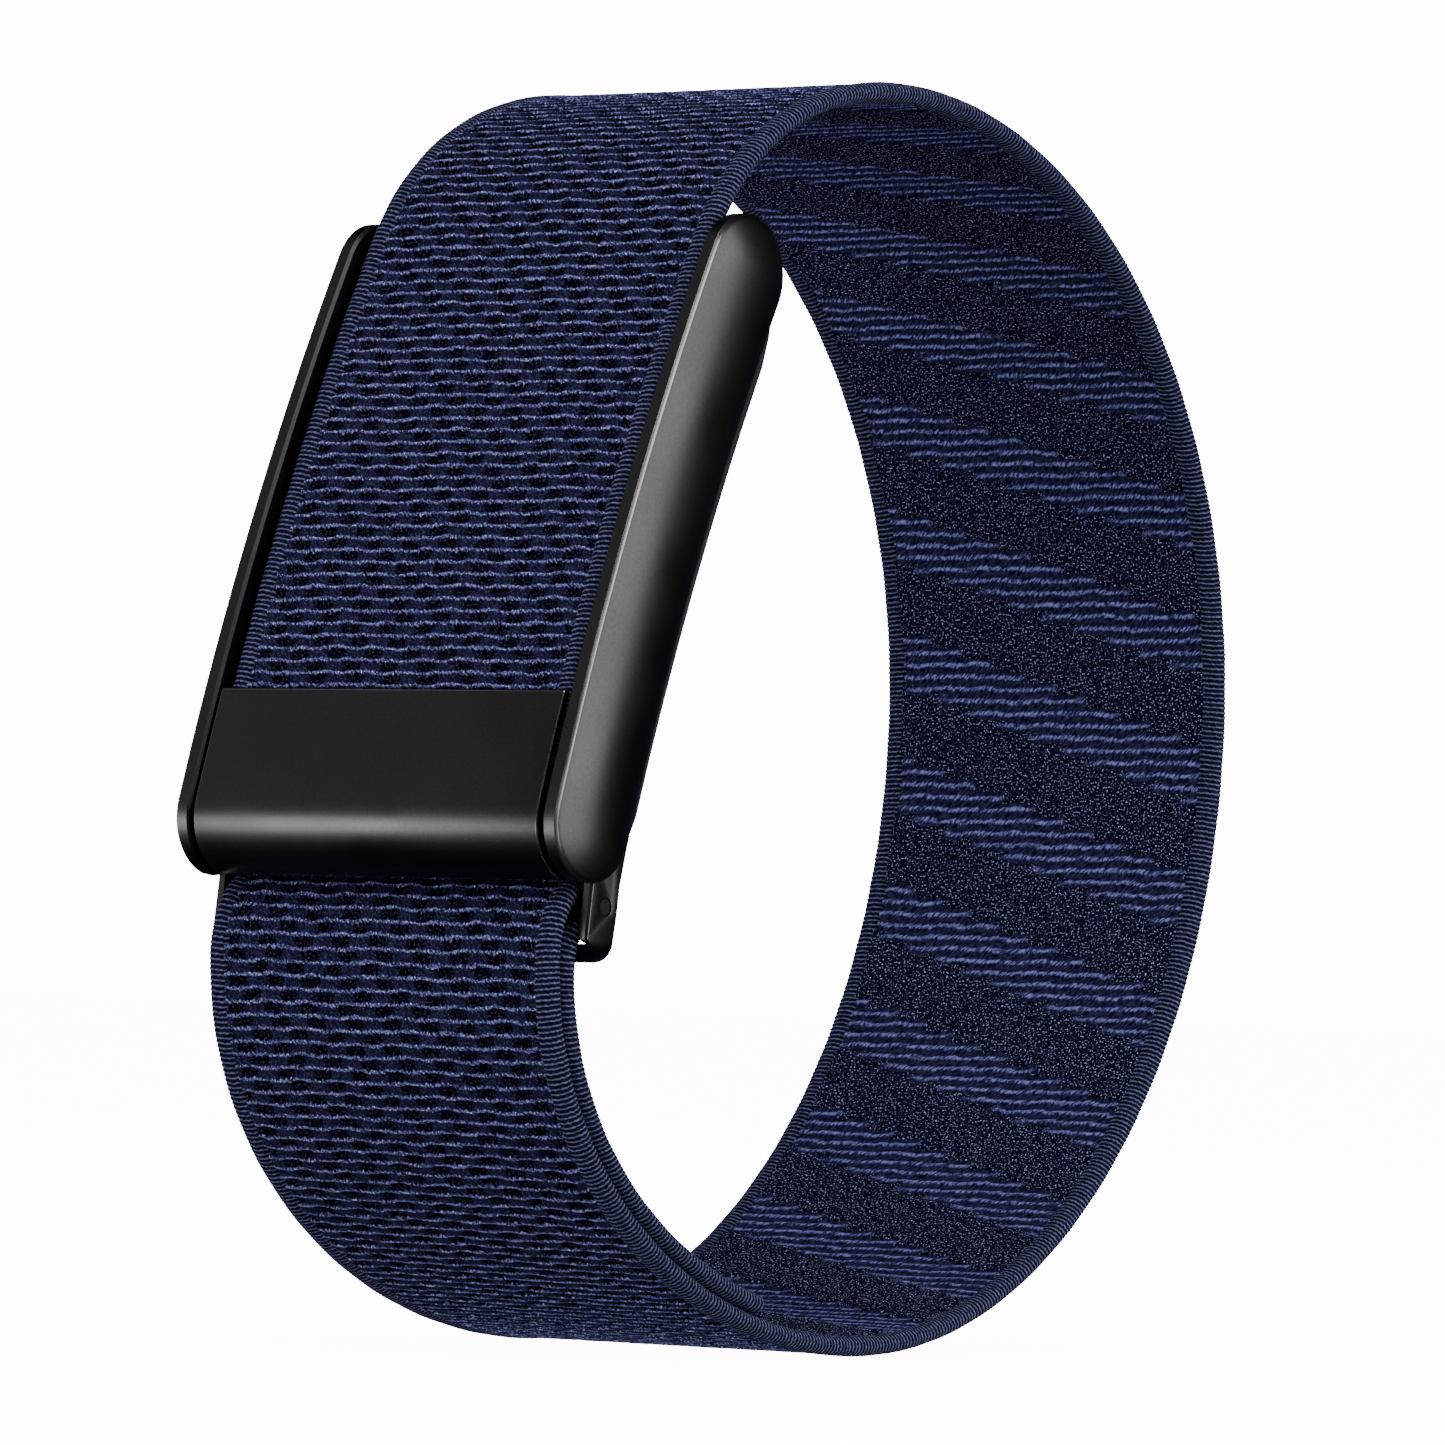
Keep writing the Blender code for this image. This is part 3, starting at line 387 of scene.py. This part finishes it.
def cloth_length(name, start, end):
    v = np.linspace(start, end, max(2, round((end - start) / (ROW / 6))) + 1)
    u = np.linspace(-CLOTH_HALF, CLOTH_HALF, COLUMNS + 1)
    vv, uu = np.meshgrid(v, u, indexing="ij")
    strayed = vv + drift(uu, vv)
    border = 0.10 * smooth_step(np.abs(uu), CLOTH_HALF - 1.1, CLOTH_HALF - 0.4)
    face = HALF_THICKNESS + outer_relief(uu, strayed) - border
    back = -HALF_THICKNESS - inner_relief(uu, strayed) + border
    drawn = uu * narrowing(vv)
    ring = np.concatenate([lay(drawn, vv, face), lay(drawn, vv, back)[:, ::-1]], axis=1)
    uv_face = np.stack([uu, strayed], axis=-1)
    uv_ring = np.concatenate([uv_face, uv_face[:, ::-1]], axis=1)
    around = 2 * (COLUMNS + 1)
    rows = len(v)
    j = np.arange(around)
    following = (j + 1) % around
    first = (np.arange(rows - 1) * around)[:, None]
    quads = np.stack([first + j, first + following, first + following + around, first + j + around], axis=-1)
    kinds = np.tile(np.where(j < COLUMNS, 0, 1), rows - 1)
    faces = quads.reshape(-1, 4).tolist()
    cap = np.arange(COLUMNS)
    low = np.stack([cap, around - 1 - cap, around - 2 - cap, cap + 1], axis=-1)
    faces += low.tolist() + (low[:, ::-1] + (rows - 1) * around).tolist()
    kinds = np.concatenate([kinds, np.zeros(2 * COLUMNS)])
    return solid_mesh(name, ring.reshape(-1, 3), faces, uv_ring.reshape(-1, 2), (OUTER, INNER), kinds)


def edge_length(name, start, end):
    """The whipping over both edges along one length: two closed cords with a ridge for each stitch."""
    count = max(2, round((end - start) / (STITCH / 5)))
    v = np.linspace(start, end, count + 1)
    turns = 12
    angle = np.linspace(0, 2 * np.pi, turns, endpoint=False)
    points, uvs, faces = [], [], []
    for side in (-1, 1):
        vv, aa = np.meshgrid(v, angle, indexing="ij")
        slanted = vv + 0.05 * np.cos(aa) + 0.012 * np.sin(3.1 * vv)
        ridge = np.abs(np.cos(np.pi * slanted / STITCH))
        swell = 0.94 + 0.08 * ridge + 0.015 * np.sin(1.7 * vv + side)
        x = side * (10.05 - 0.65 * np.cos(aa) * swell) * narrowing(vv)
        offset = sum(len(p) for p in points)
        points.append(lay(x, vv, 0.50 * np.sin(aa) * swell).reshape(-1, 3))
        uvs.append(np.stack([aa * 0.6 + 20 * side, slanted], axis=-1).reshape(-1, 2))
        j = np.arange(turns)
        first = (np.arange(count) * turns)[:, None] + offset
        quads = [first + j, first + (j + 1) % turns, first + (j + 1) % turns + turns, first + j + turns]
        quads = np.stack(quads if side < 0 else quads[::-1], axis=-1).reshape(-1, 4)
        low = (j + offset).tolist()
        high = (j + offset + count * turns).tolist()
        faces += quads.tolist() + ([low[::-1], high] if side < 0 else [low, high[::-1]])
    return solid_mesh(name, np.concatenate(points), faces, np.concatenate(uvs), (WHIPPING,), [0] * len(faces))


def row_near(length):
    return round(length / ROW) * ROW


face_split = row_near(12.5)
crown_top = row_near(marks[1])
ring_end = row_near(marks[4])
fold_end = row_near(marks[7])
ring_third = row_near((ring_end - crown_top) / 3)
hinges = {joint["name"]: Vector(joint["pos_m"]) for joint in frame["joints"]}
hinge_top = hinges["flap_lift"]
hinge_hook = hinges["hook_tilt"]
hinge_tail = hinges["tail_peel"]
# Up along the strap at each hinge.
up_top = Vector((0, 0.461, 0.887))
up_hook = Vector((0, 0.325, 0.946))
down = Vector((0, 0, -1))
lengths = (
    ("strap_end", 0.0, face_split, ("flap", "hook"), hinge_hook + 0.5 * MM * up_hook,
     hinge_hook - 0.3 * MM * up_hook, ("strap_hem",)),
    ("strap_face", face_split, crown_top, ("band", "flap"), hinge_top + 0.3 * MM * up_top,
     hinge_top - 5.0 * MM * up_top, ("face_strap",)),
    ("strap_crown", crown_top, crown_top + ring_third, None, None, None, ("strap_ring",)),
    ("strap_back", crown_top + ring_third, crown_top + 2 * ring_third, None, None, None, ()),
    ("strap_foot", crown_top + 2 * ring_third, ring_end, None, None, None, ()),
    ("strap_loop", ring_end, fold_end, None, None, None, ("strap_fold",)),
    ("strap_tail_end", fold_end, float(marks[8]) - 0.5, ("band", "tail"), hinge_tail,
     hinge_tail + 3.0 * MM * down, ("strap_tail",)),
)
for name, start, end, bodies, near, far, nodes in lengths:
    cloth_piece = cloth_length(name, start, end)
    edge_piece = edge_length(f"{name}_whipping", start, end)
    for piece in (cloth_piece, edge_piece):
        if bodies:
            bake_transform(piece)
        else:
            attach(piece, "band")
    if nodes:
        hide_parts(*nodes)

# The metal: steel with a satin black coating that has a fine blasted grain. Its cut edges are bare and
# bright. One group gives the grain, and each finish uses it at its own strength.
def fine_grain():
    tree = bpy.data.node_groups.new("fine_grain", "ShaderNodeTree")
    tree.interface.new_socket(name="Place", in_out="INPUT", socket_type="NodeSocketVector")
    tree.interface.new_socket(name="Grain", in_out="OUTPUT", socket_type="NodeSocketFloat")
    tree.interface.new_socket(name="Cloud", in_out="OUTPUT", socket_type="NodeSocketFloat")
    given = tree.nodes.new("NodeGroupInput").outputs
    result = tree.nodes.new("NodeGroupOutput").inputs
    tree.links.new(noise_value(tree, given[0], 9000.0, 2.0), result["Grain"])
    tree.links.new(ramp(tree, noise_value(tree, given[0], 160.0, 3.0), 0.3, 0.7), result["Cloud"])
    return tree


GRAIN = fine_grain()


def hard_material(name, colour, lighter, metallic, roughness, spread, bump, coat=0.0):
    material = bpy.data.materials.new(name)
    material.use_nodes = True
    tree = material.node_tree
    shader = tree.nodes["Principled BSDF"]
    shader.inputs["Metallic"].default_value = metallic
    shader.inputs["Coat Weight"].default_value = coat
    place = tree.nodes.new("ShaderNodeTexCoord")
    grain = tree.nodes.new("ShaderNodeGroup")
    grain.node_tree = GRAIN
    tree.links.new(place.outputs["Object"], grain.inputs[0])
    tree.links.new(mixed(tree, grain.outputs["Grain"], colour, lighter), shader.inputs["Base Color"])
    tree.links.new(ramp(tree, grain.outputs["Cloud"], 0.0, 1.0, roughness - spread, roughness + spread),
                   shader.inputs["Roughness"])
    raise_by(tree, shader, grain.outputs["Grain"], 0.00001, bump)
    return material


SATIN = hard_material("black_satin_metal", (0.030, 0.030, 0.031), (0.050, 0.050, 0.051), 1.0, 0.34, 0.03,
                      0.12)
CUT_EDGE = hard_material("bare_cut_edge", (0.16, 0.16, 0.165), (0.24, 0.24, 0.245), 1.0, 0.24, 0.03, 0.05)
STEEL = hard_material("turned_steel", (0.30, 0.30, 0.31), (0.42, 0.42, 0.43), 1.0, 0.28, 0.05, 0.08)

# The pod's side caps: one pressed and polished shell on each side of the pod, pill-shaped, with a shallow
# dome outside, a bright cut rim and a recess behind for the buckle frame's arm. They are pressed on.
CAP_INNER = 10.9
CAP_RIM = 11.8
CAP_RADIUS = 2.9
PIVOT = (-24.62, -6.318)
CUT_WIDTH = 0.14
DOME_RADIUS = 6.4
DOME_RINGS = 16
STRAIGHT_CUTS = 24
RECESS_MIDDLE = 10.8
RECESS_DEPTH = 1.8
RECESS_RADIUS = 2.35


def only(piece):
    bpy.ops.object.select_all(action="DESELECT")
    piece.select_set(True)
    bpy.context.view_layer.objects.active = piece


def ring_to(piece, reach, step):
    """Extrude the picked ring outwards by a step and set its reach from the cap's spine."""
    bpy.ops.object.mode_set(mode="EDIT")
    bpy.ops.mesh.extrude_region_move(TRANSFORM_OT_translate={"value": (0, 0, step)})
    bpy.ops.object.mode_set(mode="OBJECT")
    for vertex in piece.data.vertices:
        if vertex.select:
            spine = max(-CAP_END, min(CAP_END, vertex.co.y))
            arm = Vector((vertex.co.x, vertex.co.y - spine)).normalized() * reach
            vertex.co.x, vertex.co.y = arm.x, spine + arm.y


def arm_recess(piece, side):
    """Cut the room for the buckle frame's arm into the cap's inner side."""
    middle = side * RECESS_MIDDLE * MM
    y, z = PIVOT[0] * MM + LOOP_MIDDLE[0], PIVOT[1] * MM + LOOP_MIDDLE[1]
    bpy.ops.mesh.primitive_cylinder_add(vertices=64, radius=RECESS_RADIUS * MM, depth=RECESS_DEPTH * MM,
                                        location=(middle, y, z), rotation=(0, math.pi / 2, 0))
    round_cutter = bpy.context.object
    bpy.ops.mesh.primitive_cube_add(size=1.0, location=(middle, y + 1.5 * MM, z - 3.0 * MM),
                                    scale=(RECESS_DEPTH * MM, 7.7 * MM, 6.0 * MM))
    for cutter in (bpy.context.object, round_cutter):
        only(piece)
        recess = piece.modifiers.new("recess", "BOOLEAN")
        recess.operation = "DIFFERENCE"
        recess.object = cutter
        bpy.ops.object.modifier_apply(modifier="recess")
        bpy.data.objects.remove(cutter)


def side_cap(side_name, side):
    bpy.ops.object.select_all(action="DESELECT")
    edge_reach = CAP_RADIUS - CUT_WIDTH
    bpy.ops.mesh.primitive_circle_add(vertices=64, radius=edge_reach, rotation=(0, 0, math.pi / 64))
    bpy.ops.object.transform_apply(location=False, rotation=True, scale=False)
    piece = bpy.context.object
    piece.name = f"pod_side_cap_{side_name}"
    mesh = piece.data
    for vertex in mesh.vertices:
        vertex.co.y += math.copysign(CAP_END, vertex.co.y)
    bpy.ops.object.mode_set(mode="EDIT")
    bpy.ops.mesh.select_all(action="DESELECT")
    bpy.ops.object.mode_set(mode="OBJECT")
    for edge in mesh.edges:
        low, high = (mesh.vertices[k].co.y for k in edge.vertices)
        edge.select = low * high < 0
    bpy.ops.object.mode_set(mode="EDIT")
    bpy.ops.mesh.subdivide(number_cuts=STRAIGHT_CUTS)
    bpy.ops.mesh.select_all(action="SELECT")
    bpy.ops.object.mode_set(mode="OBJECT")
    first_ring = len(mesh.vertices)
    rim = CAP_RIM - CAP_INNER
    ring_to(piece, CAP_RADIUS, CUT_WIDTH)
    ring_to(piece, CAP_RADIUS, rim - 2 * CUT_WIDTH)
    ring_to(piece, edge_reach, CUT_WIDTH)
    reaches = [edge_reach * (1 - k / DOME_RINGS) for k in range(DOME_RINGS + 1)]
    for previous, following in zip(reaches, reaches[1:]):
        rise = math.sqrt(DOME_RADIUS**2 - following**2) - math.sqrt(DOME_RADIUS**2 - previous**2)
        ring_to(piece, following, rise)
    bpy.ops.object.mode_set(mode="EDIT")
    bpy.ops.mesh.select_all(action="DESELECT")
    bpy.ops.object.mode_set(mode="OBJECT")
    for edge in mesh.edges:
        edge.select = max(edge.vertices) < first_ring
    for vertex in mesh.vertices:
        vertex.select = vertex.index < first_ring
    ring_to(piece, 0.0, 0.0)
    bpy.ops.object.mode_set(mode="EDIT")
    bpy.ops.mesh.select_all(action="SELECT")
    bpy.ops.mesh.remove_doubles(threshold=0.01)
    bpy.ops.object.mode_set(mode="OBJECT")
    for vertex in mesh.vertices:
        y, z = on_pod(vertex.co.y, vertex.co.x)
        vertex.co = (side * (CAP_INNER + vertex.co.z) * MM, y * MM + LOOP_MIDDLE[0], z * MM + LOOP_MIDDLE[1])
    bpy.ops.object.mode_set(mode="EDIT")
    bpy.ops.mesh.select_all(action="SELECT")
    bpy.ops.mesh.normals_make_consistent(inside=False)
    bpy.ops.object.mode_set(mode="OBJECT")
    arm_recess(piece, side)
    mesh = piece.data
    mesh.materials.clear()
    mesh.materials.append(SATIN)
    mesh.materials.append(CUT_EDGE)
    for face in mesh.polygons:
        beyond = abs(face.center.x) / MM
        on_rim = CAP_RIM - CUT_WIDTH < beyond < CAP_RIM
        face.material_index = int(on_rim and 0.4 < abs(face.normal.x) < 0.9)
    only(piece)
    bpy.ops.object.shade_smooth_by_angle(angle=math.radians(28))
    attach(piece, "pod")
    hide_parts(f"side_cap_{side_name}")


side_cap("left", -1)
side_cap("right", 1)


# The hook, the buckle frame and the pod's two shells: the metal ones are stamped and blasted, then coated,
# the shells are moulded. All have a small broken edge all round.
def eased(node, name, width, body, materials, angle=35.0):
    """A finished copy of a part: its loose faces joined, its corners eased and its curves made smooth."""
    source = bpy.data.objects[node]
    mesh = source.data.copy()
    mesh.transform(source.matrix_world)
    piece = bpy.data.objects.new(name, mesh)
    bpy.context.scene.collection.objects.link(piece)
    only(piece)
    bpy.ops.object.mode_set(mode="EDIT")
    bpy.ops.mesh.select_all(action="SELECT")
    bpy.ops.mesh.remove_doubles(threshold=0.000002)
    bpy.ops.mesh.dissolve_limited(angle_limit=math.radians(0.4))
    bpy.ops.object.mode_set(mode="OBJECT")
    mesh.materials.clear()
    for material in materials:
        mesh.materials.append(material)
    bevel = piece.modifiers.new("eased", "BEVEL")
    bevel.width = width * MM
    bevel.segments = 2
    bevel.limit_method = "ANGLE"
    bevel.angle_limit = math.radians(angle)
    bevel.material = len(materials) - 1
    bpy.ops.object.modifier_apply(modifier="eased")
    bpy.ops.object.shade_smooth_by_angle(angle=math.radians(30))
    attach(piece, body)
    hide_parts(node)


PLASTIC = hard_material("black_case_plastic", (0.012, 0.012, 0.013), (0.020, 0.020, 0.021), 0.0, 0.5, 0.05,
                        0.25)
eased("hook_plate", "strap_hook", 0.07, "hook", (SATIN, CUT_EDGE))
eased("loop_frame", "buckle_frame", 0.07, "band", (SATIN, CUT_EDGE))
eased("pod_back_shell", "pod_skin_shell", 0.06, "pod", (PLASTIC,))
eased("pod_front_cover", "pod_face_cover", 0.06, "pod", (PLASTIC,))
eased("sensor_bezel", "pod_sensor_bezel", 0.06, "pod", (SATIN,))

# What the pod holds: the clear window with the light emitters and sensors behind it, the boards, the cell
# and the small parts on them. Their moulded or cut shapes stay, and each takes its own finish.
RUBBER = hard_material("seal_rubber", (0.010, 0.010, 0.011), (0.016, 0.016, 0.017), 0.0, 0.75, 0.05, 0.4)
GLASS = hard_material("smoked_window", (0.010, 0.010, 0.014), (0.014, 0.014, 0.020), 0.0, 0.08, 0.02, 0.0,
                      1.0)
BOARD = hard_material("solder_mask", (0.010, 0.070, 0.030), (0.020, 0.100, 0.045), 0.0, 0.35, 0.05, 0.1)
CHIP = hard_material("moulded_chip", (0.015, 0.015, 0.016), (0.028, 0.028, 0.030), 0.0, 0.55, 0.05, 0.3)
GREEN = hard_material("green_emitter", (0.05, 0.45, 0.12), (0.10, 0.60, 0.20), 0.0, 0.25, 0.03, 0.05, 0.5)
RED = hard_material("red_emitter", (0.45, 0.03, 0.03), (0.60, 0.06, 0.05), 0.0, 0.25, 0.03, 0.05, 0.5)
FOIL = hard_material("cell_foil", (0.42, 0.42, 0.43), (0.55, 0.55, 0.56), 0.9, 0.35, 0.08, 0.3)
COPPER = hard_material("copper_winding", (0.60, 0.28, 0.14), (0.75, 0.38, 0.20), 1.0, 0.30, 0.05, 0.3)
AMBER = hard_material("amber_film", (0.35, 0.16, 0.03), (0.45, 0.22, 0.05), 0.0, 0.35, 0.05, 0.1)
finishes = {"seal_rubber": RUBBER, "window_glass": GLASS, "board_green": BOARD, "chip_black": CHIP,
            "led_green": GREEN, "led_red": RED, "battery_foil": FOIL, "copper": COPPER, "flex_amber": AMBER,
            "steel": STEEL, "black_metal": SATIN}
kept = {
    "seal_rubber": ("cover_gasket",),
    "window_glass": ("sensor_window",),
    "board_green": ("optical_board", "main_board"),
    "chip_black": ("photodiode_upper", "photodiode_lower", "photodiode_left", "photodiode_right",
                   "processor_chip", "radio_chip", "motion_sensor_chip"),
    "led_green": ("led_green_left", "led_green_right"),
    "led_red": ("led_red_infrared",),
    "battery_foil": ("battery_cell",),
    "copper": ("charging_coil", "antenna_strip"),
    "flex_amber": ("flex_cable",),
    "steel": ("vibration_motor", "skin_temperature_sensor", "strap_end_bar"),
    "black_metal": ("frame_pin_left", "frame_pin_right", "strap_bar"),
}
for slot, nodes in kept.items():
    for node in nodes:
        for holder in bpy.data.objects[node].material_slots:
            holder.material = finishes[slot]


# The studio: a plain pale floor, a white surround that metal doesn't mirror, and four soft boxes, to the
# right, above, on the left and low on the left.
def studio_world():
    world = bpy.data.worlds.new("studio")
    bpy.context.scene.world = world
    world.use_nodes = True
    tree = world.node_tree
    rays = tree.nodes.new("ShaderNodeLightPath")
    seen = times(tree, rays.outputs["Is Camera Ray"], 14.0)
    fill = times(tree, rays.outputs["Is Diffuse Ray"], 0.8)
    dim = plus(tree, plus(tree, seen, fill), 0.012)
    tree.links.new(dim, tree.nodes["Background"].inputs["Strength"])
    tree.nodes["Background"].inputs["Color"].default_value = (1, 1, 1, 1)


def pale_floor():
    bpy.ops.object.select_all(action="DESELECT")
    bpy.ops.mesh.primitive_circle_add(vertices=96, radius=4.0, fill_type="NGON", location=(0, 0, -0.0002))
    floor = bpy.context.object
    floor.name = "studio_floor"
    material = bpy.data.materials.new("pale_floor")
    material.use_nodes = True
    tree = material.node_tree
    shader = tree.nodes["Principled BSDF"]
    shader.inputs["Base Color"].default_value = (0.8, 0.8, 0.8, 1)
    shader.inputs["Roughness"].default_value = 0.9
    shader.inputs["Emission Color"].default_value = (1, 1, 1, 1)
    rays = tree.nodes.new("ShaderNodeLightPath")
    seen = times(tree, rays.outputs["Is Camera Ray"], 13.0)
    tree.links.new(seen, shader.inputs["Emission Strength"])
    floor.data.materials.append(material)
    floor.visible_glossy = False
    floor.visible_diffuse = False
    floor.visible_shadow = False


def soft_box(name, way, distance, width, height, power):
    data = bpy.data.lights.new(name, "AREA")
    data.shape = "RECTANGLE"
    data.size = width
    data.size_y = height
    data.energy = power
    lamp = bpy.data.objects.new(name, data)
    aim = Vector(way).normalized()
    lamp.location = Vector((0, 0, 0.031)) + aim * distance
    lamp.rotation_euler = aim.to_track_quat("Z", "Y").to_euler()
    bpy.context.scene.collection.objects.link(lamp)


studio_world()
pale_floor()
soft_box("box_right", (0.97, 0.10, 0.16), 0.6, 0.55, 0.7, 6.5)
soft_box("box_above", (0.35, -0.50, 0.90), 0.7, 0.5, 0.5, 4.0)
soft_box("box_left_low", (-0.62, -0.78, -0.16), 0.5, 0.45, 0.15, 2.3)
soft_box("box_left", (-0.66, -0.52, 0.55), 0.8, 0.9, 0.7, 0.9)


# The camera stands in front and to the right, level with the loop's middle.
def camera():
    data = bpy.data.cameras.new("camera")
    data.sensor_width = 36.0
    data.lens = 249.0
    data.clip_start = 0.01
    bearing = math.radians(52.48)
    pitch = math.radians(1.41)
    roll = math.radians(1.56)
    ahead = Vector((-math.cos(bearing), math.sin(bearing), 0))
    right = Vector((math.sin(bearing), math.cos(bearing), 0))
    forward = ahead * math.cos(pitch) + Vector((0, 0, 1)) * math.sin(pitch)
    above = right.cross(forward)
    rolled_right = right * math.cos(roll) + above * math.sin(roll)
    rolled_above = above * math.cos(roll) - right * math.sin(roll)
    distance = 0.4998
    aside = 0.0007
    stand = Vector((0, *LOOP_MIDDLE)) - forward * distance - rolled_right * aside
    placed = Matrix((rolled_right, rolled_above, -forward)).transposed().to_4x4()
    placed.translation = stand
    lens = bpy.data.objects.new("camera", data)
    lens.matrix_world = placed
    bpy.context.scene.collection.objects.link(lens)
    bpy.context.scene.camera = lens


camera()
